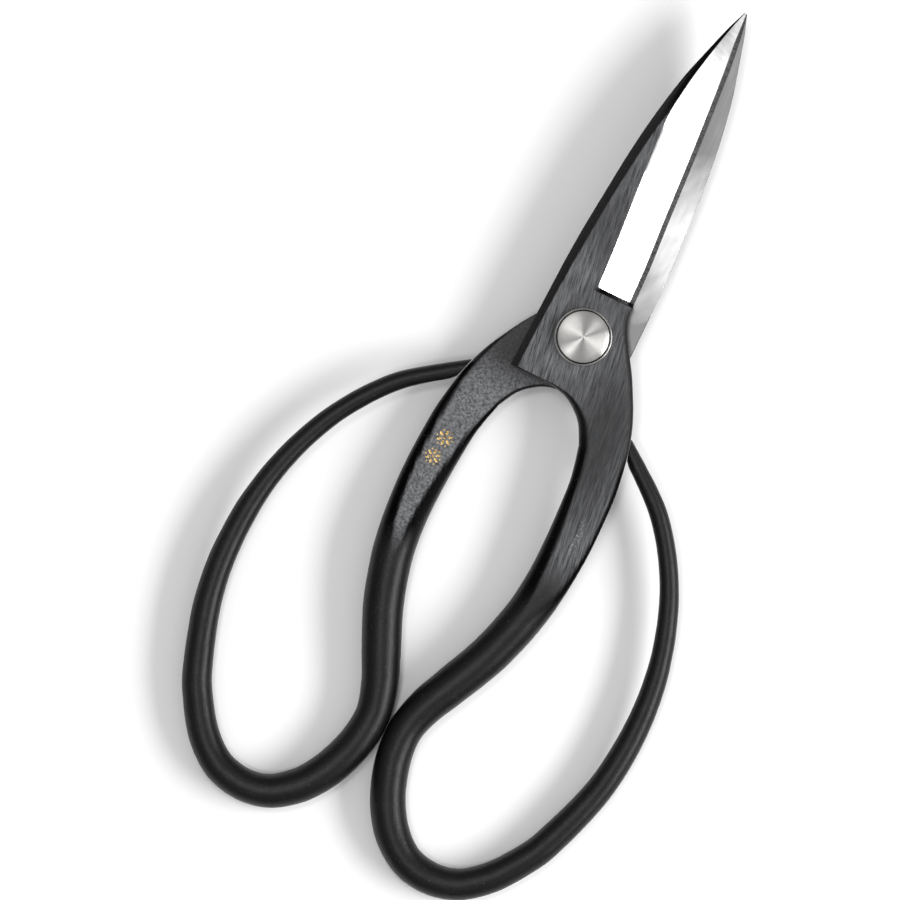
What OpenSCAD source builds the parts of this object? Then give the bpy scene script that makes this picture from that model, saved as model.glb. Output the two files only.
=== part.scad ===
// Floral snips of the traditional forged pattern: two identical forgings, each a blade, a flat
// shank and a long finger loop drawn out to a thin end, held by one rivet and two washers.
// Frame, in millimetres: Z is the pivot axis, +Y points to the blade tips and z = 0 is the
// surface that the rivet's flat tail rests on. The blades are closed.

/* [Blades] */
// Pivot axis to the blade tips
blade_len = 78; // [70:1:84]
// Thickness of each forging at the pivot
plate_t = 4.4; // [3.8:0.1:5]
// Width of the ground cutting bevel
bevel_w = 7.7; // [6.5:0.1:8]
// Width of the steep land along the cutting edge
land_w = 1.1; // [0.6:0.1:1.4]
// Height of that land
land_h = 0.5; // [0.3:0.1:0.8]
// Width of the chamfer along the back of the blade
chamfer_w = 2.1; // [1.5:0.1:2.3]

/* [Handles] */
// Pivot axis to the bottom of the finger loops
handle_len = 122.4; // [112:0.1:130]
// Thickness of the round bar where the two handles meet
knuckle_d = 7.6; // [6.8:0.1:7.6]
// Thickness of the bar at the bottom of the loop
loop_d = 7; // [6:0.1:7.4]
// Thickness of the bar at its free end
tail_d = 3.2; // [2.8:0.1:3.8]

/* [Pivot] */
// Rivet shank diameter
rivet_d = 6; // [5:0.1:7]
// Turned rivet head diameter
head_d = 11.2; // [10:0.1:11.6]
// Turned rivet head height
head_h = 1.5; // [1:0.1:2.5]
// Washer diameter
washer_d = 12.4; // [12:0.1:13]
// Washer thickness
washer_t = 0.8; // [0.5:0.1:1.2]
// Height of the peened tail under the lower washer
tail_h = 2.5; // [1.5:0.1:3]

/* [Hidden] */

mating_z = tail_h + washer_t + plate_t;   // plane on which the two forgings slide
slide_gap = 0.04;                         // between the forgings
bore_gap = 0.05;                          // radial, where the upper forging turns on the rivet
washer_bore_gap = 0.1;                    // radial, between a washer and the rivet
heel_y = 11;                              // where the cutting bevel stops short of the pivot
shoulder_y = -12.1;                       // lower edge of the pivot boss
back_x = -11.3;                           // back of the blade at that edge
nominal_blade = 78;
nominal_handle = 122.4;

black = [0.09, 0.09, 0.10];
steel = [0.78, 0.78, 0.77];

// ---------- curves ----------

// One span of a Catmull-Rom curve, from b to c
function span(a, b, c, d, t) =
    0.5 * (2 * b + (c - a) * t + (2 * a - 5 * b + 4 * c - d) * t * t
           + (3 * b - a - 3 * c + d) * t * t * t);

// A smooth curve through points of any number of coordinates, n steps to each span
function curve(p, n) = let (last = len(p) - 1) [
    for (i = [0 : last - 1], k = [0 : n - 1])
        span(p[max(i - 1, 0)], p[i], p[i + 1], p[min(i + 2, last)], k / n),
    p[last]
];

// ---------- blade ----------

// Back of the blade, from the boss to the tip: x and y
back_line = [
    [back_x, shoulder_y], [-11.1, 5], [-10.6, 20], [-9, 40], [-7.7, 50],
    [-5.8, 60], [-3.05, 70], [-0.3, 78]
];
// Cutting edge: y and x
edge_line = [[11, 6.7], [30, 5.4], [50, 3.9], [60, 2.9], [70, 1.7], [78, 0.35]];
// Height of the flat wall that is left along the back: y and z
back_wall = [[11, 2.3], [52, 2.2], [60, 1.9], [70, 1.3], [74, 0.9], [78, 0.4]];

bevel_slope = (plate_t - land_h) / bevel_w;
ridge = 0.06;   // width of the crest where chamfer and bevel meet

// Section of the blade across the length at one point of its back, as [x, z] points
function blade_section(p) = let (
    y = p[1],
    wall = lookup(y, back_wall) * plate_t / 4.4,
    edge = lookup(y, edge_line),
    land = edge - min(land_w, (edge - p[0]) * 0.4),
    flat_from = p[0] + plate_t - wall,
    flat_to = land - (plate_t - land_h) / bevel_slope,
    crest = (land_h + bevel_slope * land - wall + p[0]) / (1 + bevel_slope),
    has_flat = flat_to > flat_from + ridge,
    low = min(land_h, wall * 0.8),
    x1 = has_flat ? flat_from : crest - ridge / 2,
    x2 = has_flat ? flat_to : crest + ridge / 2,
    z1 = has_flat ? plate_t : wall + x1 - p[0],
    z2 = has_flat ? plate_t : low + bevel_slope * (land - x2)
) [[p[0], 0], [p[0], wall], [x1, z1], [x2, z2], [land, low], [edge, 0]];

// Closed solid through rings of points that all have the same count
module loft(rings) {
    n = len(rings[0]);
    m = len(rings);
    points = [for (r = rings, p = r) p];
    sides = [
        for (i = [0 : m - 2], k = [0 : n - 1]) let (
            a = i * n + k, b = i * n + (k + 1) % n,
            c = a + n, d = b + n
        ) each [[a, d, b], [a, c, d]]
    ];
    ends = [
        for (k = [1 : n - 2]) each [
            [0, k, k + 1],
            [(m - 1) * n, (m - 1) * n + k + 1, (m - 1) * n + k]
        ]
    ];
    polyhedron(points, concat(sides, ends));
}

module blade() {
    stretch = blade_len / nominal_blade;
    back = [for (p = curve(back_line, 4)) if (p[1] > heel_y) p];
    stations = concat([[-10.9, heel_y]], back);
    loft([
        for (p = stations)
            [for (q = blade_section(p)) [q[0], heel_y + (p[1] - heel_y) * stretch, q[1]]]
    ]);
}

// ---------- pivot boss ----------

// Outer edge of the boss and shank, from the heel of the blade down
boss_outer = [[6.7, 11], [7.1, 7.6], [11.1, 0.5], [16.3, -9], [19.1, -15.4], [20.4, -20]];
// Arch between the handles, from the shank up to the shoulder
boss_arch = [[9.5, -20.6], [6.6, -15.6], [2.6, -12.9], [-3, shoulder_y]];

module boss() {
    difference() {
        linear_extrude(height = plate_t)
            polygon(concat(
                curve(boss_outer, 5),
                curve(boss_arch, 5),
                [[back_x, shoulder_y]],
                [for (p = curve(back_line, 4)) if (p[1] > shoulder_y && p[1] < heel_y) p],
                [[-10.9, heel_y]]
            ));
        // chamfer down the back, in line with the blade's
        translate([back_x, 0, plate_t - chamfer_w])
            rotate([0, -45, 0])
            translate([-10, shoulder_y - 5, 0])
            cube([20, heel_y - shoulder_y + 5.5, 10]);
    }
}

// ---------- handle ----------

// Stations down the handle: x, y, width, thickness, height of its middle, squareness
function flat_bar(x, y, w, top, bottom, square) = [x, y, w, top - bottom, (top + bottom) / 2, square];
function round_bar(x, y, d) = [x, y, d, d, 0, 2];

sink = 0.05;   // keeps the start of the bar just inside the boss
bar_line = [
    flat_bar(13.8, -16, 10.6, plate_t - sink, sink, 12),
    flat_bar(15, -20.5, 10.6, plate_t - sink, sink - 0.2, 9),
    flat_bar(16.7, -30, 10.2, plate_t - sink, -1.1, 6),
    flat_bar(17.2, -41, 9.8, plate_t - 0.2, -2.4, 4),
    flat_bar(16.8, -51, 9.3, 4.1, -3.5, 2.8),
    round_bar(15.5, -60, 8.7),
    round_bar(12.7, -70, 8.4),
    round_bar(8.3, -80, 8.1),
    round_bar(3.93, -92.5, knuckle_d),
    round_bar(6.2, -105, knuckle_d - 0.1),
    round_bar(12, -114.2, loop_d + 0.3),
    round_bar(22.5, -118.9, loop_d),
    round_bar(34.3, -113, loop_d - 0.3),
    round_bar(42.4, -100, 6.4),
    round_bar(47, -85, 5.8),
    round_bar(48.2, -70, 5.3),
    round_bar(46.4, -55, 4.6),
    round_bar(41, -40, 4.2),
    round_bar(32.4, -27.4, 3.9),
    round_bar(22.6, -19.3, tail_d)
];
// Free end, cut to lie along the side of the shank: x, y, width, thickness
tail_end = [19.95, -17.3, 5, tail_d, 0, 2];
tail_way = [-0.96, -0.27];
bar_sides = 20;

// Ring of the bar at a station, square to the way that it runs
function bar_ring(s, way) = let (across = [way[1], -way[0]] / norm(way)) [
    for (k = [0 : bar_sides - 1]) let (
        a = 360 * k / bar_sides,
        u = sign(cos(a)) * pow(abs(cos(a)), 2 / s[5]) * s[2] / 2,
        v = sign(sin(a)) * pow(abs(sin(a)), 2 / s[5]) * s[3] / 2
    ) [s[0] - across[0] * u, s[1] - across[1] * u, s[4] + v]
];

module handle() {
    stretch = (handle_len - 20.5) / (nominal_handle - 20.5);
    line = curve([
        for (s = bar_line)
            [s[0], s[1] > -20.5 ? s[1] : -20.5 + (s[1] + 20.5) * stretch, s[2], s[3], s[4], s[5]]
    ], 4);
    last = len(line) - 1;
    loft([
        for (i = [0 : last]) let (
            a = line[max(i - 1, 0)], b = line[min(i + 1, last)]
        ) bar_ring(line[i], [b[0] - a[0], b[1] - a[1]]),
        bar_ring(tail_end, tail_way)
    ]);
}

// ---------- pieces ----------

// One forging, its sliding face on z = 0
module forging(bore_r) {
    difference() {
        union() {
            blade();
            boss();
            handle();
        }
        translate([0, 0, -1])
            cylinder(r = bore_r, h = plate_t + 2, $fn = 96);
    }
}

module upper_half() {
    color(black)
        translate([0, 0, mating_z + slide_gap / 2])
        forging(rivet_d / 2 + bore_gap);
}

module lower_half() {
    color(black)
        translate([0, 0, mating_z - slide_gap / 2])
        rotate([0, 180, 0])
        forging(rivet_d / 2);
}

// Turned head on top, shank through both forgings, peened tail below
module pivot_rivet() {
    under_head = mating_z + plate_t + washer_t + slide_gap;
    head_edge = 0.35;
    tail_r = 5;
    flat_r = 4.2;
    color(steel)
        rotate_extrude($fn = 96)
        polygon([
            [0, 0], [flat_r, 0], [tail_r, tail_h * 0.55], [tail_r, tail_h - slide_gap / 2],
            [rivet_d / 2, tail_h - slide_gap / 2], [rivet_d / 2, under_head],
            [head_d / 2, under_head], [head_d / 2, under_head + head_h - head_edge],
            [head_d / 2 - head_edge, under_head + head_h], [0, under_head + head_h]
        ]);
}

// Flat ring with a small bevel on one face, that face up
module washer() {
    edge = 0.2;
    color(steel)
        rotate_extrude($fn = 96)
        polygon([
            [rivet_d / 2 + washer_bore_gap, 0], [washer_d / 2, 0],
            [washer_d / 2, washer_t - edge], [washer_d / 2 - edge, washer_t],
            [rivet_d / 2 + washer_bore_gap, washer_t]
        ]);
}

module top_washer() {
    translate([0, 0, mating_z + plate_t + slide_gap]) washer();
}

module bottom_washer() {
    translate([0, 0, mating_z - plate_t - slide_gap / 2]) mirror([0, 0, 1]) washer();
}

upper_half();
lower_half();
pivot_rivet();
top_washer();
bottom_washer();
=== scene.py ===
"""Forged flower shears, closed: the finished look of two black forgings on a turned rivet.

Lengths inside the forging code are millimetres in one forging's own frame: x across, y to the
tip, z up from the face that slides on the other forging. Everything in Blender is in metres.
"""

import math

import bpy
from bpy.props import FloatProperty, FloatVectorProperty, IntProperty, PointerProperty
from mathutils import Matrix, Vector, noise


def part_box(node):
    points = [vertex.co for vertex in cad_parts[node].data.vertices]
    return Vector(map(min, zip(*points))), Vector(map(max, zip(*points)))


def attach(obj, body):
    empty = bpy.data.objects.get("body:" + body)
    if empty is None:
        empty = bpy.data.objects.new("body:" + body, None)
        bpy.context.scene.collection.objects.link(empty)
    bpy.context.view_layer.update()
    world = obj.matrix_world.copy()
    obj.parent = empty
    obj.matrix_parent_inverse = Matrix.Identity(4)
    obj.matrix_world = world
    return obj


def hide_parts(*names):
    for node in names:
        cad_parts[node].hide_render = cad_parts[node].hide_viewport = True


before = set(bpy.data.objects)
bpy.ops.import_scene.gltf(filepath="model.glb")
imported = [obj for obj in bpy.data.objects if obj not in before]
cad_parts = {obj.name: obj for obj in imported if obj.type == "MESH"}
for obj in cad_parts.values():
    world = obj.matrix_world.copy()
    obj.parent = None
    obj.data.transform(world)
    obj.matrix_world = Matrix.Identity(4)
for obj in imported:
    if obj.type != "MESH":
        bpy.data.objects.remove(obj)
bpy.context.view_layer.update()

bl_info = {
    "name": "Forged Flower Shears",
    "version": (1, 0, 0),
    "blender": (4, 5, 0),
    "location": "View3D > Sidebar > Shears",
    "description": "Builds forged flower shears and a plain studio round the packed frame",
    "category": "Add Mesh",
}

MM = 0.001


def top_of(node):
    """Height of a node's highest point, in millimetres."""
    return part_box(node)[1][2] / MM


def foot_of(node):
    """Height of a node's lowest point, in millimetres."""
    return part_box(node)[0][2] / MM


def radius_of(node):
    """Half the width of a round node, in millimetres."""
    low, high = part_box(node)
    return (high[0] - low[0]) / 2 / MM


SLIDE_PLANE = (top_of("upper_half") + foot_of("lower_half")) / 2
PLATE = 4.4
HALF_GAP = 0.02
# Radii: the rivet's tail, the rim that its tail stands on, its shank, and the washers' bore
TAIL_RADIUS = 5.0
TAIL_RIM = 4.2
RIVET_SHANK = 3.0
WASHER_BORE = 3.1
TURNED_SIDES = 128


# ---------------------------------------------------------------- settings

class ForgingSettings(bpy.types.PropertyGroup):
    """Sizes of the ground and forged details on each half."""

    land_height: FloatProperty(
        name="Land height", description="Height of the steep land along the cutting edge",
        default=0.9 * MM, min=0, unit="LENGTH")
    land_width: FloatProperty(
        name="Land width", description="Width of the steep land along the cutting edge",
        default=1.1 * MM, min=0, unit="LENGTH")
    hollow: FloatProperty(
        name="Hollow", description="Depth of the hollow ground into the blade's inner face",
        default=0.22 * MM, min=0, unit="LENGTH")
    hammer: FloatProperty(
        name="Hammer marks", description="How far the forged bar wanders from a true round",
        default=0.05 * MM, min=0, unit="LENGTH")
    bar_steps: IntProperty(
        name="Bar steps", description="Rings of faces in each stretch of the forged bar",
        default=14, min=4, max=40)


class FinishSettings(bpy.types.PropertyGroup):
    """Colours of the finishes."""

    black: FloatVectorProperty(
        name="Forge black", description="Colour of the blackened, unground steel",
        default=(0.0025, 0.0025, 0.0025), min=0, max=1, size=3, subtype="COLOR")
    brushed: FloatVectorProperty(
        name="Brushed black", description="Colour of the brushed flats",
        default=(0.067, 0.068, 0.071), min=0, max=1, size=3, subtype="COLOR")
    bright: FloatVectorProperty(
        name="Ground steel", description="Colour of the ground bevel and inner face",
        default=(0.50, 0.50, 0.50), min=0, max=1, size=3, subtype="COLOR")
    turned: FloatVectorProperty(
        name="Turned steel", description="Colour of the rivet and the washers",
        default=(0.46, 0.455, 0.44), min=0, max=1, size=3, subtype="COLOR")
    gilt: FloatVectorProperty(
        name="Gilt", description="Colour of the stamped flowers",
        default=(0.52, 0.36, 0.14), min=0, max=1, size=3, subtype="COLOR")


class StudioSettings(bpy.types.PropertyGroup):
    """Floor, light and camera."""

    floor_tone: FloatProperty(
        name="Floor tone", description="Brightness of the floor", default=0.93, min=0, max=1)
    key_power: FloatProperty(
        name="Key power", description="Power of the main soft light", default=10.3, min=0,
        unit="POWER")
    fill: FloatProperty(
        name="Fill", description="Brightness of the even light from all round",
        default=0.52, min=0)
    camera_height: FloatProperty(
        name="Camera height", description="Height of the camera over the shears",
        default=1.2, min=0.3, unit="LENGTH")


# ---------------------------------------------------------------- curves

def mix(a, b, t):
    return a + (b - a) * t


def ease(t):
    t = min(max(t, 0.0), 1.0)
    return t * t * (3 - 2 * t)


def span(a, b, c, d, t):
    """Point at t on the smooth span from b to c."""
    return tuple(
        0.5 * (2 * q + (r - p) * t + (2 * p - 5 * q + 4 * r - s) * t * t
               + (3 * q - p - 3 * r + s) * t ** 3)
        for p, q, r, s in zip(a, b, c, d))


def smooth(points, steps):
    """A smooth run through points, with that many steps in each stretch."""
    last = len(points) - 1
    run = [
        span(points[max(i - 1, 0)], points[i], points[i + 1], points[min(i + 2, last)], k / steps)
        for i in range(last) for k in range(steps)]
    return run + [tuple(points[-1])]


def along(line, y):
    """Value at y on a fair line through (y, value) pairs that run upwards."""
    if y <= line[0][0]:
        return line[0][1]
    if y >= line[-1][0]:
        return line[-1][1]
    i = max(k for k in range(len(line) - 1) if line[k][0] <= y)

    def slope(k):
        a, b = line[max(k - 1, 0)], line[min(k + 1, len(line) - 1)]
        return (b[1] - a[1]) / (b[0] - a[0])

    (y0, v0), (y1, v1) = line[i], line[i + 1]
    h = y1 - y0
    t = (y - y0) / h
    return ((2 * t ** 3 - 3 * t ** 2 + 1) * v0 + (t ** 3 - 2 * t ** 2 + t) * h * slope(i)
            + (3 * t ** 2 - 2 * t ** 3) * v1 + (t ** 3 - t ** 2) * h * slope(i + 1))


# ---------------------------------------------------------------- one forging

# Lines down the blade, each as (y, x) pairs.
BACK = [(-12.1, -11.3), (10, -11.0), (20, -10.6), (30, -9.85), (40, -9.0), (50, -7.7),
        (60, -5.8), (66, -4.15), (70, -3.0), (74, -1.8), (78, -0.32)]
CHAMFER = [(-12.1, -9.7), (0, -9.55), (10, -9.2), (20, -8.65), (30, -7.95), (40, -6.95),
           (48, -5.9), (51, -5.2)]
RIDGE = [(11, -2.0), (20, -2.6), (30, -3.5), (40, -4.35), (48, -4.95), (51, -5.1), (54, -4.85),
         (60, -4.1), (66, -3.05), (70, -2.2), (74, -1.3), (78, -0.2)]
EDGE = [(11, 6.7), (20, 6.25), (30, 5.4), (40, 4.65), (50, 3.85), (60, 2.95), (66, 2.35),
        (70, 1.85), (74, 1.2), (78, 0.3)]

# Back and shoulder of the boss with the outer edge across from each, as x, y, x, y
BOSS_BACK = [(-10.98, 9.95, 6.86, 10.35), (-11.05, 7.2, 6.9, 8.2), (-11.15, 1.5, 8.0, 5.3),
             (-11.22, -5.0, 9.6, 2.7), (-11.3, -12.1, 11.2, 0.2)]
BOSS_FRONT = [(-11.3, -12.1, 11.2, 0.2), (-8.4, -12.12, 12.6, -1.9), (-5.0, -12.15, 13.95, -4.1),
              (-1.5, -12.25, 15.2, -6.4), (2.0, -12.95, 16.65, -9.1), (4.9, -14.6, 18.1, -12.3),
              (7.45, -17.1, 19.25, -15.6), (9.64, -21.18, 20.26, -19.48)]

# Shank: x, y, width, top, underside, then the four corner radii from the left top round
SHANK = [(14.95, -20.33, 10.75, 4.4, -0.2, 2.5, 1.3, 1.8, 1.2),
         (15.95, -25, 10.45, 4.4, -0.6, 2.45, 1.3, 2.3, 1.6),
         (16.65, -30, 10.25, 4.4, -1.1, 2.4, 1.3, 2.6, 2.1),
         (17.15, -41, 9.9, 4.3, -2.4, 3.1, 1.4, 2.9, 3.3),
         (16.85, -51, 9.3, 4.25, -3.5, 3.7, 2.2, 3.4, 4.0)]
# Bar: x, y, thickness
BAR = [(15.6, -60, 9.0), (12.7, -70, 8.8), (8.3, -80, 8.5), (5.55, -86.1, 8.1), (3.93, -92.5, 7.6),
       (4.3, -99, 7.7), (6.05, -105, 7.75), (8.6, -110.1, 7.7), (11.9, -114.25, 7.6),
       (16.7, -117.65, 7.35), (22.6, -118.75, 7.15), (28.75, -117.35, 6.95), (34.25, -113.1, 6.75),
       (38.8, -107, 6.55), (42.4, -100, 6.4), (47, -85, 5.95), (48.2, -70, 5.45), (46.4, -55, 4.7),
       (41, -40, 4.2), (32.4, -27.4, 3.95), (22.6, -19.3, 3.5)]
# The free end is cut to lie along the side of the shank: x, y, width, thickness, and its way
TAIL_END = (19.95, -17.3, 5.0, 3.2)
TAIL_WAY = (-0.96, -0.27)

# Rings down the blade: where they start, the close ones at the tip, the last before the heel
BLADE_TIP, FINE_TIP, HEEL = 78, 1.2, 11.9
FINE_STEPS, BLADE_STEPS = 3, 44
# The bevel stops at a ledge, whose far side runs a little up from the back to the edge
LEDGE_BACK, LEDGE_EDGE = 10.6, 11.3
BOSS_STEPS = 6
CORNER_STEPS = 12
# A land narrower than this is lower in proportion
FULL_LAND = 0.9
# The inner face is ground this many rings past the boss's back corner
GROUND_RINGS = 18

# Points of a ring, span by span: wall, back shoulder, top, bevel, land, foot, underside, foot
COUNTS = (4, 8, 14, 10, 4, 6, 8, 6)
STARTS = [sum(COUNTS[:i]) for i in range(9)]
RING = STARTS[8]
BEVEL_SLOPE = 0.455
BEVEL_SPAN = range(STARTS[3], STARTS[4])
LAND_SPAN = range(STARTS[4], STARTS[5])
UNDERSIDE_SPAN = range(STARTS[5], STARTS[8] - 1)

FORGED, BEVEL, LAND, INNER = range(4)


def straight(a, b, count):
    return [(mix(a[0], b[0], k / count), mix(a[1], b[1], k / count)) for k in range(count)]


def blade_ring(y, s):
    """Section of the blade at y as (distance from the back, height) points."""
    back, ridge, edge = along(BACK, y), along(RIDGE, y), along(EDGE, y)
    width = edge - back
    land_w = min(s.land_width / MM, 0.3 * (edge - ridge))
    land_h = s.land_height / MM * min(1, land_w / FULL_LAND)
    ridge_z = min(PLATE, land_h + BEVEL_SLOPE * (edge - land_w - ridge))
    chamfer = min(along(CHAMFER, y), ridge - 0.02) if y < CHAMFER[-1][0] else ridge - 0.02
    run = chamfer - back
    wall = max(ridge_z - run, 0.25)
    hollow = s.hollow / MM * ease((y - 12) / 8) * ease((76 - y) / 10)
    foot = min(0.08, width / 6)
    under = [
        (x, z + hollow * math.sin(math.pi * min(max(x / width, 0), 1)) ** 0.7)
        for x, z in straight((width - foot, 0), (foot, 0), COUNTS[6])]
    return (
        straight((0, foot), (0, wall), COUNTS[0])
        + straight((0, wall), (run, ridge_z), COUNTS[1])
        + straight((run, ridge_z), (ridge - back, ridge_z), COUNTS[2])
        + straight((ridge - back, ridge_z), (width - land_w, land_h), COUNTS[3])
        + straight((width - land_w, land_h), (width, 0.03), COUNTS[4])
        + straight((width, 0.03), (width - foot, 0), COUNTS[5])
        + under
        + straight((foot, 0), (0, foot), COUNTS[7]))


def quarter(cx, cz, radius, start):
    """Quarter of a circle, going clockwise from start degrees."""
    turns = [math.radians(start - 90 * k / CORNER_STEPS) for k in range(CORNER_STEPS)]
    return [(cx + radius * math.cos(a), cz + radius * math.sin(a)) for a in turns]


def plate_ring(width, top, under, corners, chamfer=None, marks=None, even=0.0):
    """Section with four rounded corners. marks moves the ridge and land points along the top."""
    lt, rt, rb, lb = corners
    if chamfer:
        run, drop = chamfer
        shoulder = straight((0, top - drop), (run, top), CORNER_STEPS)
    else:
        run = drop = lt
        shoulder = quarter(lt, top - lt, lt, 180)
    spans = [
        straight((0, under + lb), (0, top - drop), 6),
        shoulder,
        straight((run, top), (width - rt, top), 12),
        quarter(width - rt, top - rt, rt, 90),
        straight((width, top - rt), (width, under + rb), 6),
        quarter(width - rb, under + rb, rb, 0),
        straight((width - rb, under), (lb, under), 12),
        quarter(lb, under + lb, lb, 270),
    ]
    line = [p for part in spans for p in part]
    line.append(line[0])
    run_to = [0.0]
    for a, b in zip(line, line[1:]):
        run_to.append(run_to[-1] + math.dist(a, b))
    total = run_to[-1]
    breaks, at = [], 0
    for part in spans:
        breaks.append(run_to[at])
        at += len(part)
    breaks.append(total)
    if marks:
        ridge, land, hold = marks
        breaks[3] = mix(breaks[3], breaks[2] + ridge - run, hold)
        breaks[4] = mix(breaks[4], breaks[2] + land - run, hold)
    breaks = [mix(b, total * STARTS[i] / RING, even) for i, b in enumerate(breaks)]
    places = [
        mix(breaks[i], breaks[i + 1], k / n) for i, n in enumerate(COUNTS) for k in range(n)]
    ring, j = [], 0
    for place in places:
        while j < len(run_to) - 2 and run_to[j + 1] < place:
            j += 1
        t = (place - run_to[j]) / max(run_to[j + 1] - run_to[j], 1e-9)
        ring.append((mix(line[j][0], line[j + 1][0], t), mix(line[j][1], line[j + 1][1], t)))
    return ring


def stood(left, right, ring):
    """Ring of 3-D points over the line from left to right."""
    width = math.dist(left, right)
    dx, dy = (right[0] - left[0]) / width, (right[1] - left[1]) / width
    return [Vector((left[0] + dx * a, left[1] + dy * a, z)) for a, z in ring]


def blade_rings(s):
    """Rings from the tip to the heel, and one more for the far side of the ledge."""
    ys = [BLADE_TIP - FINE_TIP * k / FINE_STEPS for k in range(FINE_STEPS + 1)]
    ys += [mix(BLADE_TIP - FINE_TIP, HEEL, k / BLADE_STEPS) for k in range(1, BLADE_STEPS + 1)]
    rings = [stood((along(BACK, y), y), (along(EDGE, y), y), blade_ring(y, s)) for y in ys]
    rings.append(stood((along(BACK, LEDGE_BACK), LEDGE_BACK), (along(EDGE, LEDGE_EDGE), LEDGE_EDGE),
                       blade_ring(LEDGE_EDGE, s)))
    return rings


def boss_rings():
    """Rings of the boss: down its back to the corner, then round its shoulder to the shank."""
    rings = []
    # how far across the ridge and the land start, carried over from the blade's last ring
    ridge_u, land_u = 8.95, 16.6
    back = smooth(BOSS_BACK, BOSS_STEPS)
    front = smooth(BOSS_FRONT, BOSS_STEPS)
    for i, (lx, ly, rx, ry) in enumerate(back):
        width = math.dist((lx, ly), (rx, ry))
        lean = width / (rx - lx)
        drop = along(CHAMFER, ly) - lx
        t = i / (len(back) - 1)
        round_ = mix(0.9, 1.3, ease(t * 3))
        marks = (ridge_u, land_u, 1 - ease(t / 0.25))
        rings.append(stood((lx, ly), (rx, ry), plate_ring(
            width, PLATE, 0, (0.1, round_, 0.12, 0.12), (drop * lean, drop), marks)))
    for i, (lx, ly, rx, ry) in enumerate(front):
        width = math.dist((lx, ly), (rx, ry))
        lean = width / (rx - lx)
        t = i / (len(front) - 1)
        left = mix(0.6, SHANK[0][5], ease((t - 0.1) / 0.7))
        foot = mix(0.12, SHANK[0][8], ease((t - 0.3) / 0.3))
        right = mix(1.3, SHANK[0][6], ease(t))
        right_foot = mix(0.3, SHANK[0][7], ease((t - 0.2) / 0.8))
        under = SHANK[0][4] * ease((t - 0.55) / 0.45)
        drop = CHAMFER[0][1] - lx
        chamfer = (drop * lean, drop) if drop > 0.5 else None
        # both runs hold the corner, so this one starts a hair past it
        start = ly if i else ly - 0.02
        rings.append(stood((lx, start), (rx, ry), plate_ring(
            width, PLATE, under, (left, right, right_foot, foot), chamfer)))
    return rings


def bar_rings(s, seed):
    """Rings of the shank and the bar, square to the way it runs, with hammer marks."""
    stations = SHANK + [(x, y, d, d / 2, -d / 2, d / 2, d / 2, d / 2, d / 2) for x, y, d in BAR]
    run = smooth(stations, s.bar_steps)
    hammer = s.hammer / MM
    rings = []
    for i, st in enumerate(run[1:], 1):
        x, y, width, top, under = st[:5]
        a, b = run[i - 1], run[min(i + 1, len(run) - 1)]
        way = Vector((b[0] - a[0], b[1] - a[1])).normalized()
        across = Vector((-way[1], way[0]))
        k = i / s.bar_steps
        even = ease((k - 1.6) / 2.4)
        lt, rt, rb, lb = st[5:]
        fit = (top - under - 0.02) / max(lt + lb, rt + rb, top - under - 0.02)
        fit = min(fit, (width - 0.02) / max(lt + rt, lb + rb))
        corners = tuple(c * fit for c in (lt, rt, rb, lb))
        ring = plate_ring(width, top, under, corners, even=even)
        left = (x - across[0] * width / 2, y - across[1] * width / 2)
        right = (x + across[0] * width / 2, y + across[1] * width / 2)
        rough = hammer * ease((k - 3.2) / 2)
        placed = stood(left, right, ring)
        middle = Vector((x, y, (top + under) / 2))
        if rough:
            for n, p in enumerate(placed):
                out = (p - middle).normalized()
                big = noise.noise(p * 0.16 + Vector((seed, 0, 0)))
                small = noise.noise(p * 0.55 + Vector((0, seed, 0)))
                placed[n] = p + out * rough * (big * 1.3 + small * 0.5)
        rings.append(placed)
    # free end, cut slantwise and slightly eased at its rim
    x, y, width, thick = TAIL_END
    way = Vector(TAIL_WAY).normalized()
    across = Vector((-way[1], way[0]))
    for scale, push in ((1.0, 0.0), (0.9, 0.1)):
        w, d = width * scale, thick * scale
        ring = [
            (w / 2 - w / 2 * math.cos(2 * math.pi * n / RING),
             d / 2 * math.sin(2 * math.pi * n / RING)) for n in range(RING)]
        mid = Vector((x, y)) + way * push
        left = mid - across * w / 2
        right = mid + across * w / 2
        rings.append(stood(left, right, ring))
    return rings


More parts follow.
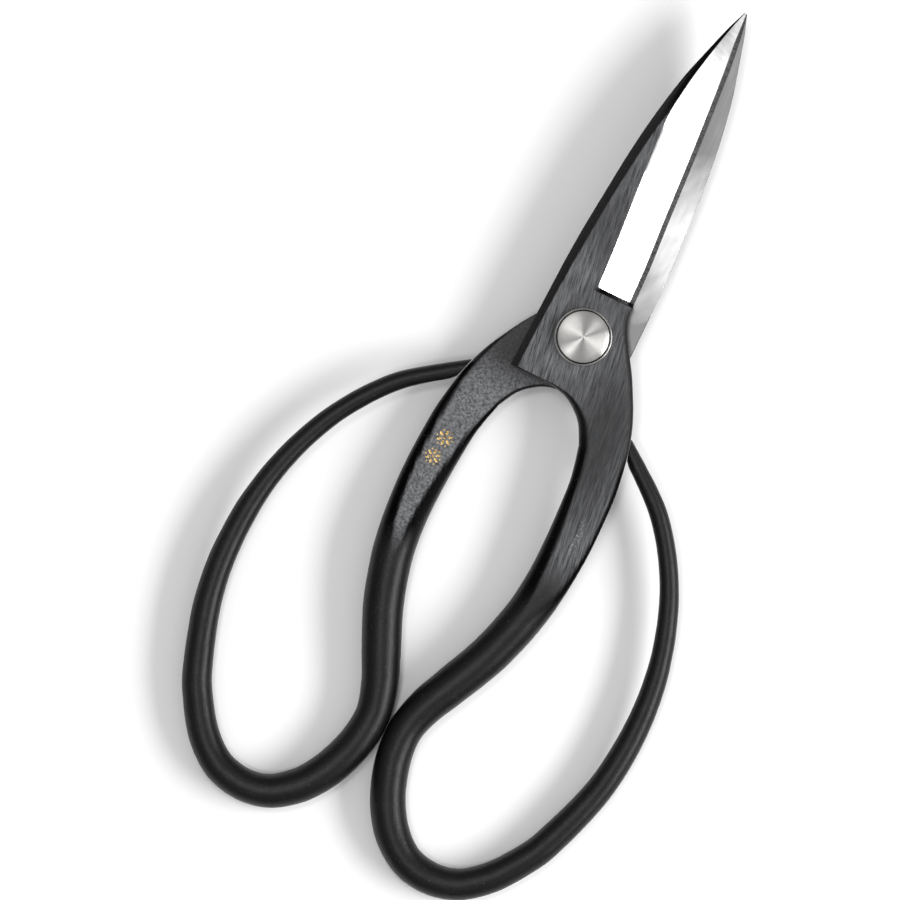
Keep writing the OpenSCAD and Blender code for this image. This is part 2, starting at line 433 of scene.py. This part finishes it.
def forging_mesh(name, s, turned_over, seed):
    """Mesh of one forging, and the ring at its boss's back corner.

    turned_over puts it under the sliding plane, turned about its length.
    """
    blade, boss, bar = blade_rings(s), boss_rings(), bar_rings(s, seed)
    rings = blade + boss + bar
    ledge = len(blade) - 1
    corner = ledge + 1 + len(smooth(BOSS_BACK, BOSS_STEPS))
    boss_end = len(blade) + len(boss) - 1
    ground_end = corner + GROUND_RINGS
    verts, brushed, peened, scaled = [], [], [], []
    for r, ring in enumerate(rings):
        top, under = max(p.z for p in ring), min(p.z for p in ring)
        for n, p in enumerate(ring):
            if turned_over:
                place = Vector((-p.x, p.y, SLIDE_PLANE - HALF_GAP - p.z))
            else:
                place = Vector((p.x, p.y, SLIDE_PLANE + HALF_GAP + p.z))
            verts.append(place * MM)
            fade = ease((p.y + 61) / 9) if r > boss_end else 1.0
            if p.x > 24 or r > boss_end + 6 * s.bar_steps:
                fade = 0.0
            ledge_top = r == len(blade) and n >= STARTS[3]
            worn = 0.0 if ledge_top else ease((p.y + 55) / 13)
            brushed.append(fade * worn * ease((p.z - top + 0.08) / 0.06))
            # painted shade: the peened sand fades to black towards the shoulder, where the other
            # half casts its shadow
            shoulder = mix(0.25, 1, ease((-9 - p.y) / 12))
            peened.append(fade * shoulder * ease((under - p.z + 0.1) / 0.08))
            # thicker scale just off the worked flats, most of all by the point and on the shanks
            drop = min(top - p.z, p.z - under)
            heavy = max(0.35, ease((p.y - 42) / 14), ease((-14 - p.y) / 10))
            step_face = ledge <= r <= ledge + 1 and n >= STARTS[3]
            band = ease((drop - 0.03) / 0.12) * (1 - ease((drop - 0.6) / 1.4))
            scaled.append(1.0 if step_face else fade * heavy * band)
    faces, slots = [], []
    for r in range(len(rings) - 1):
        for n in range(RING):
            a, b = r * RING + n, r * RING + (n + 1) % RING
            c, d = b + RING, a + RING
            faces.append((a, b, c, d))
            if r < ledge and n in BEVEL_SPAN:
                slots.append(BEVEL)
            elif r < ledge and n in LAND_SPAN:
                slots.append(LAND)
            elif n in UNDERSIDE_SPAN and (
                    r < ledge or r < corner and STARTS[6] < n < STARTS[7]
                    or r < ground_end and STARTS[6] + 3 < n < STARTS[7]):
                slots.append(INNER)
            else:
                slots.append(FORGED)
    faces.append(tuple(reversed(range(RING))))
    slots.append(FORGED)
    last = (len(rings) - 1) * RING
    faces.append(tuple(range(last, last + RING)))
    slots.append(FORGED)
    mesh = bpy.data.meshes.new(name)
    mesh.from_pydata(verts, [], faces)
    mesh.polygons.foreach_set("material_index", slots)
    for key, values in (("brushed", brushed), ("peened", peened), ("scaled", scaled)):
        mesh.attributes.new(key, "FLOAT", "POINT").data.foreach_set("value", values)
    mesh.update()
    return mesh, corner


# ---------------------------------------------------------------- small helpers

def add_piece(name, mesh, materials, sharp=None):
    """Object from a mesh with its materials, smooth except at edges of over sharp degrees."""
    piece = bpy.data.objects.new(name, mesh)
    bpy.context.scene.collection.objects.link(piece)
    for m in materials:
        mesh.materials.append(m)
    mesh.shade_smooth()
    if sharp:
        mesh.set_sharp_from_angle(angle=math.radians(sharp))
    return piece


def turned_mesh(name, profile):
    """Mesh turned about the pivot from (radius, height) points in millimetres, bottom to top."""
    verts, faces, sides = [], [], TURNED_SIDES
    for r, z in profile:
        for k in range(sides):
            a = 2 * math.pi * k / sides
            verts.append((r * math.cos(a) * MM, r * math.sin(a) * MM, z * MM))
    for i in range(len(profile) - 1):
        for k in range(sides):
            a, b = i * sides + k, i * sides + (k + 1) % sides
            faces.append((a, b, b + sides, a + sides))
    mesh = bpy.data.meshes.new(name)
    mesh.from_pydata(verts, [], faces)
    mesh.update()
    return mesh


class Finish:
    """A material under construction, with short ways to add and join its nodes."""

    def __init__(self, name):
        self.material = bpy.data.materials.new(name)
        self.material.use_nodes = True
        self.tree = self.material.node_tree
        self.shader = self.tree.nodes["Principled BSDF"]

    def set(self, **values):
        for socket, value in values.items():
            self.shader.inputs[socket.replace("_", " ")].default_value = value

    def node(self, kind, inputs=None, **settings):
        made = self.tree.nodes.new(kind)
        for key, value in settings.items():
            setattr(made, key, value)
        for socket, value in (inputs or {}).items():
            if isinstance(value, bpy.types.NodeSocket):
                self.tree.links.new(value, made.inputs[socket])
            else:
                made.inputs[socket].default_value = value
        return made

    def join(self, source, socket):
        self.tree.links.new(source, self.shader.inputs[socket])

    def place(self):
        """Position on the piece, in metres."""
        return self.node("ShaderNodeTexCoord").outputs["Object"]

    def mapped(self, vector, **changes):
        return self.node("ShaderNodeMapping", {"Vector": vector, **changes}).outputs[0]

    def stretched(self, scale, turn, vector):
        """Position stretched for streaks, turned about the pivot's axis by degrees."""
        turned = self.mapped(vector, Rotation=(0, 0, math.radians(turn)))
        return self.mapped(turned, Scale=scale)

    def length(self, vector):
        return self.node("ShaderNodeVectorMath", {0: vector}, operation="LENGTH").outputs["Value"]

    def distance(self, vector, x, y, squeeze):
        """How far across the flat from x, y, with the lengthwise part times squeeze."""
        moved = self.mapped(vector, Location=(-x, -y, 0))
        return self.length(self.mapped(moved, Scale=(1, squeeze, 0)))

    def noise(self, vector, scale=1.0, detail=4.0, rough=0.6):
        return self.node("ShaderNodeTexNoise", {
            "Vector": vector, "Scale": scale, "Detail": detail, "Roughness": rough}).outputs["Fac"]

    def spread(self, value, low, high, to_low=0.0, to_high=1.0):
        """Value moved from the first range to the second, and held inside it."""
        return self.node("ShaderNodeMapRange", {
            "Value": value, "From Min": low, "From Max": high, "To Min": to_low,
            "To Max": to_high}).outputs["Result"]

    def times(self, a, b):
        return self.node("ShaderNodeMath", {0: a, 1: b}, operation="MULTIPLY").outputs[0]

    def plus(self, a, b):
        return self.node("ShaderNodeMath", {0: a, 1: b}, operation="ADD").outputs[0]

    def blend(self, fac, a, b):
        """Colour a where fac is 0 and b where it is 1."""
        made = self.node("ShaderNodeMix", {0: fac}, data_type="RGBA")
        for index, value in ((6, a), (7, b)):
            if isinstance(value, bpy.types.NodeSocket):
                self.tree.links.new(value, made.inputs[index])
            else:
                made.inputs[index].default_value = tuple(value)[:3] + (1,)
        return made.outputs[2]

    def bump(self, height, depth, strength, normal=None):
        inputs = {"Height": height, "Distance": depth, "Strength": strength}
        if normal:
            inputs["Normal"] = normal
        return self.node("ShaderNodeBump", inputs).outputs["Normal"]


# ---------------------------------------------------------------- finishes

def shade(colour, times):
    """The colour, darker or lighter by that many times."""
    return [c * times for c in colour]


def forged_finish(colours):
    """Blackened steel: brushed on the outer flats, peened on the inner ones, forged elsewhere."""
    f = Finish("blackened_steel")
    f.set(Metallic=0.0)
    brushed = f.node("ShaderNodeAttribute", attribute_name="brushed").outputs["Fac"]
    peened = f.node("ShaderNodeAttribute", attribute_name="peened").outputs["Fac"]
    scaled = f.node("ShaderNodeAttribute", attribute_name="scaled").outputs["Fac"]
    f.join(f.spread(scaled, 0, 1, 0.26, 0.01), "Specular IOR Level")
    place = f.place()
    streaks = f.noise(f.stretched((2000, 110, 900), -7, place), detail=4, rough=0.75)
    fine = f.noise(f.stretched((4200, 260, 2000), -13, place), detail=3, rough=0.7)
    mottle = f.noise(place, 1700, 5, 0.7)
    cloud = f.noise(place, 70, 3, 0.5)
    grain = f.noise(place, 2600, 4, 0.7)
    tone = colours.brushed
    lines = f.plus(f.times(streaks, 0.55), f.times(fine, 0.45))
    flat = f.blend(f.spread(lines, 0.40, 0.62), shade(tone, 0.22), shade(tone, 2.45))
    flat = f.blend(f.spread(cloud, 0.42, 0.66, 0.0, 0.6), flat, shade(tone, 0.4))
    # a darker patch below the rivet
    dark_patch = f.distance(place, 0.0128, -0.019, 0.4)
    dark_patch = f.plus(dark_patch, f.spread(cloud, 0.3, 0.7, -0.003, 0.003))
    flat = f.blend(f.spread(dark_patch, 0.004, 0.0095, 0.7, 0.0), flat, shade(tone, 0.2))
    # bright specks where the blacking has rubbed off the shank
    near = f.distance(place, 0.0183, -0.039, 0.22)
    chips = f.spread(f.plus(grain, f.spread(near, 0.0003, 0.0014, 0.1, 0.0)), 0.66, 0.71)
    chips = f.times(chips, f.spread(near, 0.0008, 0.0018, 0.9, 0.0))
    flat = f.blend(chips, flat, (0.42, 0.42, 0.41))
    sand = f.blend(f.spread(mottle, 0.36, 0.66), shade(tone, 0.5), shade(tone, 3.15))
    black = colours.black
    black = f.blend(f.spread(cloud, 0.35, 0.7), shade(black, 0.6), shade(black, 1.5))
    black = f.blend(f.spread(grain, 0.62, 0.73, 0, 0.75), black, (0.10, 0.10, 0.098))
    # where the peened sand fades by the shoulder, the black that shows is painted shade
    f.join(f.blend(peened, f.blend(brushed, black, flat), sand), "Base Color")
    worked = f.node("ShaderNodeMath", {0: brushed, 1: peened}, operation="MAXIMUM").outputs[0]
    rough = f.spread(mottle, 0.3, 0.7, 0.32, 0.42)
    f.join(f.plus(rough, f.times(worked, 0.12)), "Roughness")
    pits = f.bump(f.plus(mottle, f.times(grain, 0.5)), 0.00011, 0.5)
    f.join(f.bump(f.times(lines, brushed), 0.00004, 0.6, pits), "Normal")
    return f.material


def bevel_finish(colours):
    """The cutting bevel, ground bright, with grinding lines across it."""
    f = Finish("ground_bevel")
    f.set(Metallic=1.0)
    place = f.place()
    lines = f.noise(f.stretched((300, 3200, 300), 8, place), detail=4, rough=0.6)
    haze = f.noise(f.stretched((260, 60, 60), -20, place), detail=3, rough=0.5)
    # the colour goes darker towards the tip
    tip = f.spread(f.node("ShaderNodeSeparateXYZ", {0: place}).outputs[1], 0.0405, 0.0692)
    darker_to_tip = f.times(f.spread(haze, 0.3, 0.6, 0.84, 1.0), f.spread(tip, 0, 1, 0.0, 0.98))
    f.join(f.blend(darker_to_tip, colours.bright, shade(colours.bright, 0.14)), "Base Color")
    f.join(f.spread(lines, 0.3, 0.7, 0.28, 0.40), "Roughness")
    f.join(f.bump(lines, 0.00001, 0.25), "Normal")
    return f.material


def land_finish():
    """The steep land behind the cutting edge, near black: a painted dark reflection."""
    f = Finish("edge_land")
    f.set(Metallic=0.9)
    place = f.place()
    lines = f.noise(f.stretched((900, 2600, 900), 0, place), detail=4, rough=0.6)
    # painted reflection: the near-black colour stands for the dark surroundings the land mirrors
    f.join(f.blend(f.spread(lines, 0.3, 0.7), (0.03, 0.03, 0.03), (0.08, 0.08, 0.08)), "Base Color")
    f.join(f.spread(lines, 0.3, 0.7, 0.3, 0.45), "Roughness")
    f.join(f.bump(lines, 0.00001, 0.3), "Normal")
    return f.material


def inner_finish(colours):
    """The inner face, ground along the blade."""
    f = Finish("ground_inner_face")
    f.set(Metallic=1.0)
    place = f.place()
    lines = f.noise(f.stretched((2600, 160, 900), 0, place), detail=4, rough=0.6)
    cloud = f.noise(f.stretched((160, 60, 60), 35, place), detail=2, rough=0.5)
    # painted reflection: brightest part-way along the blade, darker towards the tip and the pivot
    reach = f.node("ShaderNodeSeparateXYZ", {0: place}).outputs[1]
    reach = f.plus(reach, f.spread(cloud, 0.3, 0.7, -0.006, 0.006))
    outer = f.spread(reach, 0.028, 0.048, 1.0, 0.0)
    inner = f.spread(reach, 0.012, 0.027, 0.05, 1.0)
    painted_reflection = f.times(outer, inner)
    f.join(f.blend(painted_reflection, shade(colours.bright, 0.35), shade(colours.bright, 1.15)), "Base Color")
    f.join(f.spread(lines, 0.3, 0.7, 0.38, 0.46), "Roughness")
    f.join(f.bump(lines, 0.000006, 0.2), "Normal")
    return f.material


def turned_finish(colours):
    """Bright steel with the fine rings of a lathe tool."""
    f = Finish("turned_steel")
    f.set(Metallic=1.0, Anisotropic=1.0, Anisotropic_Rotation=0.25)
    place = f.place()
    split = f.node("ShaderNodeSeparateXYZ", {0: place})
    flat = f.node("ShaderNodeCombineXYZ", {0: split.outputs[0], 1: split.outputs[1]})
    radius = f.length(flat.outputs[0])
    ring = f.node("ShaderNodeCombineXYZ", {0: radius})
    rings = f.noise(ring.outputs[0], 9000, 3, 0.6)
    smear = f.noise(place, 500, 3, 0.5)
    tone = f.blend(f.spread(rings, 0.3, 0.7), shade(colours.turned, 0.82), colours.turned)
    # painted shade: the groove round the head is coloured near black
    painted_groove_shade = f.times(f.spread(radius, 0.00550, 0.00562),
                     f.spread(radius, 0.00578, 0.00592, 1.0, 0.0))
    f.join(f.blend(painted_groove_shade, tone, (0.02, 0.02, 0.018)), "Base Color")
    f.join(f.plus(f.spread(rings, 0.3, 0.7, 0.31, 0.37), f.spread(smear, 0.4, 0.7, 0.0, 0.03)),
           "Roughness")
    f.join(f.bump(rings, 0.000008, 0.35), "Normal")
    tangent = f.node("ShaderNodeTangent", direction_type="RADIAL", axis="Z")
    f.join(tangent.outputs[0], "Tangent")
    return f.material


def gilt_finish(colours):
    """Thin gilding, worn through in specks."""
    f = Finish("worn_gilt")
    f.set(Metallic=1.0)
    place = f.place()
    worn = f.noise(place, 2600, 4, 0.7)
    f.join(f.blend(f.spread(worn, 0.5, 0.62), colours.gilt, (0.06, 0.05, 0.04)), "Base Color")
    f.join(f.spread(worn, 0.3, 0.7, 0.3, 0.5), "Roughness")
    f.join(f.bump(worn, 0.00003, 0.5), "Normal")
    return f.material


def floor_finish(tone):
    """Matt white board."""
    f = Finish("white_board")
    f.set(Roughness=0.9, Specular_IOR_Level=0.1)
    tooth = f.noise(f.place(), 900, 3, 0.5)
    f.join(f.blend(tooth, (tone * 0.99,) * 3, (tone,) * 3), "Base Color")
    return f.material


# ---------------------------------------------------------------- pieces

class SHEARS_OT_forgings(bpy.types.Operator):
    """Build the two forged halves and hang them on their bodies"""

    bl_idname = "shears.forgings"
    bl_label = "Forged Halves"

    def execute(self, context):
        sizes = context.scene.shears_forging
        colours = context.scene.shears_finish
        finishes = [forged_finish(colours), bevel_finish(colours), land_finish(),
                    inner_finish(colours)]
        for node, body, over, seed in (("upper_half", "upper_blade", False, 3.0),
                                       ("lower_half", "lower_blade", True, 11.0)):
            mesh, corner = forging_mesh(node + "_forging", sizes, over, seed)
            piece = add_piece(node + "_forging", mesh, finishes, sharp=24)
            # the ground inner face ends crisply at both of its feet
            ground = (corner + 1) * RING
            for edge in mesh.edges:
                a, b = edge.vertices
                if a % RING == b % RING in (STARTS[6], STARTS[7]) and max(a, b) < ground:
                    edge.use_edge_sharp = True
            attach(piece, body)
            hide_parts(node)
        return {"FINISHED"}


class SHEARS_OT_pivot(bpy.types.Operator):
    """Turn the rivet and its two washers"""

    bl_idname = "shears.pivot"
    bl_label = "Rivet and Washers"

    def execute(self, context):
        finish = turned_finish(context.scene.shears_finish)
        foot, top = foot_of("pivot_rivet"), top_of("pivot_rivet")
        seat_top, seat_low = top_of("top_washer"), foot_of("bottom_washer")
        head = radius_of("pivot_rivet")
        rivet = turned_mesh("rivet", [
            (0.01, foot + 0.04), (2.0, foot + 0.02), (3.6, foot), (TAIL_RIM, foot + 0.12),
            (4.6, foot + 0.5), (4.85, foot + 1.1), (TAIL_RADIUS, foot + 1.7),
            (TAIL_RADIUS, seat_low), (RIVET_SHANK, seat_low), (RIVET_SHANK, seat_top),
            (head - 0.08, seat_top), (head, seat_top + 0.08),
            (head, top - 0.85), (head - 0.08, top - 0.7), (head - 0.3, top - 0.58),
            (head * 0.75, top - 0.38), (head * 0.5, top - 0.22), (head * 0.25, top - 0.09),
            (0.01, top)])
        pieces = [("rivet_turned", rivet, "pivot_rivet")]
        for node, up in (("top_washer", 1), ("bottom_washer", -1)):
            inner, outer = WASHER_BORE, radius_of(node)
            base = foot_of(node) if up > 0 else top_of(node)
            face = top_of(node) if up > 0 else foot_of(node)
            ring = [(inner, face), (inner, base), (outer - 0.05, base), (outer, base + 0.05 * up),
                    (outer, face - 0.22 * up), (outer - 0.08, face - 0.08 * up),
                    (outer - 0.2, face), (outer - 0.34, face - 0.06 * up),
                    (outer - 0.42, face - 0.3 * up), (outer - 0.62, face - 0.3 * up),
                    (outer - 0.7, face), (inner, face)]
            if up < 0:
                ring.reverse()
            pieces.append((node + "_turned", turned_mesh(node, ring), node))
        for name, mesh, node in pieces:
            piece = add_piece(name, mesh, [finish], sharp=30)
            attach(piece, "lower_blade")
            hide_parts(node)
        return {"FINISHED"}


class SHEARS_OT_gilt(bpy.types.Operator):
    """Stamp two small gilt flowers on the lower half's shank"""

    bl_idname = "shears.gilt"
    bl_label = "Gilt Flowers"

    def execute(self, context):
        finish = gilt_finish(context.scene.shears_finish)
        verts, faces = [], []

        def height(y):
            """Just over the flat of the lower shank, which is its half's underside."""
            under = along([(-51, 3.5), (-41, 2.4), (-30, 1.1), (-20.35, 0.2)], y)
            return SLIDE_PLANE - HALF_GAP + under + 0.02

        def dab(x, y, long, wide, turn):
            """A petal: a thin low-domed oval."""
            start, count = len(verts), 14
            for k in range(count):
                a = 2 * math.pi * k / count
                u, v = long * math.cos(a), wide * math.sin(a)
                px = x + u * math.cos(turn) - v * math.sin(turn)
                py = y + u * math.sin(turn) + v * math.cos(turn)
                verts.append((px * MM, py * MM, height(py) * MM))
            verts.append((x * MM, y * MM, (height(y) + 0.04) * MM))
            faces.extend((start + k, start + (k + 1) % count, start + count) for k in range(count))

        for cx, cy, size in ((-16.8, -32.7, 1.0), (-17.3, -37.3, 0.95)):
            dab(cx, cy, 0.3 * size, 0.3 * size, 0)
            for k in range(6):
                a = math.radians(30 + 60 * k)
                dab(cx + 1.15 * size * math.cos(a), cy + 1.15 * size * math.sin(a),
                    0.62 * size, 0.3 * size, a)
            for k in range(6):
                a = math.radians(60 * k)
                dab(cx + 1.75 * size * math.cos(a), cy + 1.75 * size * math.sin(a),
                    0.2 * size, 0.2 * size, a)
        mesh = bpy.data.meshes.new("gilt_flowers")
        mesh.from_pydata(verts, [], faces)
        mesh.update()
        piece = add_piece("gilt_flowers", mesh, [finish])
        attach(piece, "lower_blade")
        return {"FINISHED"}


class SHEARS_OT_studio(bpy.types.Operator):
    """Lay the floor, hang the lights and set up the camera overhead"""

    bl_idname = "shears.studio"
    bl_label = "Studio"

    def execute(self, context):
        scene = context.scene
        s = scene.shears_studio
        scene.view_settings.view_transform = "Standard"

        # The tool rests on the rim of the rivet's tail and on the bottoms of the loops, so the
        # floor leans until it just clears the lowest stretch of the bar.
        clearance, loop_bottom, drop = 0.06, -90, 0.02
        low = SLIDE_PLANE - HALF_GAP - clearance
        rise = min(
            math.atan2(low - d / 2, -y - TAIL_RIM) for x, y, d in BAR if y < loop_bottom)
        floor_mesh = bpy.data.meshes.new("floor")
        floor_mesh.from_pydata([(-4, -4, 0), (4, -4, 0), (4, 4, 0), (-4, 4, 0)], [], [(0, 1, 2, 3)])
        floor = add_piece("floor", floor_mesh, [floor_finish(s.floor_tone)])
        floor.rotation_euler = (-rise, 0, 0)
        floor.location = (0, -TAIL_RIM * MM, -drop * MM)

        world = bpy.data.worlds.new("even_light")
        world.use_nodes = True
        tree = world.node_tree
        # brighter overhead than round the horizon, like a room with one large bank of diffusers
        way = tree.nodes.new("ShaderNodeTexCoord")
        split = tree.nodes.new("ShaderNodeSeparateXYZ")
        glow = tree.nodes.new("ShaderNodeMapRange")
        glow.inputs["To Min"].default_value = s.fill * 0.22
        glow.inputs["To Max"].default_value = s.fill * 1.25
        tree.links.new(way.outputs["Generated"], split.inputs[0])
        tree.links.new(split.outputs[2], glow.inputs["Value"])
        tree.links.new(glow.outputs[0], tree.nodes["Background"].inputs["Strength"])
        tree.nodes["Background"].inputs["Color"].default_value = (0.985, 0.98, 1, 1)
        scene.world = world

        # the lights face this point
        middle = Vector((0, -0.02, 0.006))

        def soft_light(name, azimuth, elevation, distance, width, height, power):
            lamp = bpy.data.lights.new(name, "AREA")
            lamp.shape = "ELLIPSE"
            lamp.size = width
            lamp.size_y = height
            lamp.energy = power
            holder = bpy.data.objects.new(name, lamp)
            a, e = math.radians(azimuth), math.radians(elevation)
            away = Vector((math.cos(e) * math.cos(a), math.cos(e) * math.sin(a), math.sin(e)))
            holder.location = middle + away * distance
            holder.rotation_euler = away.to_track_quat("Z", "Y").to_euler()
            scene.collection.objects.link(holder)

        soft_light("key", 13, 34.5, 1.0, 0.95, 0.34, s.key_power)
        soft_light("left_rear", 146, 77, 1.1, 0.28, 0.16, s.key_power * 0.16)
        soft_light("left_front", 247, 77, 1.1, 0.14, 0.16, s.key_power * 0.14)

        camera = bpy.data.cameras.new("camera")
        camera.lens_unit = "MILLIMETERS"
        camera.sensor_width = 36
        # the view is this wide at this height
        view_width, view_level = 0.1937, 0.008
        camera.lens = camera.sensor_width * (s.camera_height - view_level) / view_width
        camera.clip_end = 20
        holder = bpy.data.objects.new("camera", camera)
        up = Vector((-0.4499, 0.8931, 0)).normalized()
        right = up.cross(Vector((0, 0, 1)))
        turn = Matrix((right, up, (0, 0, 1))).transposed()
        over = Matrix.Translation((-0.01463, -0.0345, s.camera_height))
        holder.matrix_world = over @ turn.to_4x4()
        scene.collection.objects.link(holder)
        scene.camera = holder
        return {"FINISHED"}


class SHEARS_PT_panel(bpy.types.Panel):
    """Sidebar panel with every step of the build"""

    bl_idname = "SHEARS_PT_panel"
    bl_label = "Forged Flower Shears"
    bl_space_type = "VIEW_3D"
    bl_region_type = "UI"
    bl_category = "Shears"

    def draw(self, context):
        scene = context.scene
        for settings, steps in (
                (scene.shears_forging, ("shears.forgings",)),
                (scene.shears_finish, ("shears.pivot", "shears.gilt")),
                (scene.shears_studio, ("shears.studio",))):
            box = self.layout.box()
            for key in settings.__annotations__:
                box.prop(settings, key)
            for step in steps:
                box.operator(step)


CLASSES = (ForgingSettings, FinishSettings, StudioSettings, SHEARS_OT_forgings,
           SHEARS_OT_pivot, SHEARS_OT_gilt, SHEARS_OT_studio, SHEARS_PT_panel)


def register():
    for cls in CLASSES:
        bpy.utils.register_class(cls)
    bpy.types.Scene.shears_forging = PointerProperty(type=ForgingSettings)
    bpy.types.Scene.shears_finish = PointerProperty(type=FinishSettings)
    bpy.types.Scene.shears_studio = PointerProperty(type=StudioSettings)


def unregister():
    del bpy.types.Scene.shears_studio
    del bpy.types.Scene.shears_finish
    del bpy.types.Scene.shears_forging
    for cls in reversed(CLASSES):
        bpy.utils.unregister_class(cls)


def main():
    register()
    bpy.ops.shears.forgings()
    bpy.ops.shears.pivot()
    bpy.ops.shears.gilt()
    bpy.ops.shears.studio()


if __name__ == "__main__":
    main()
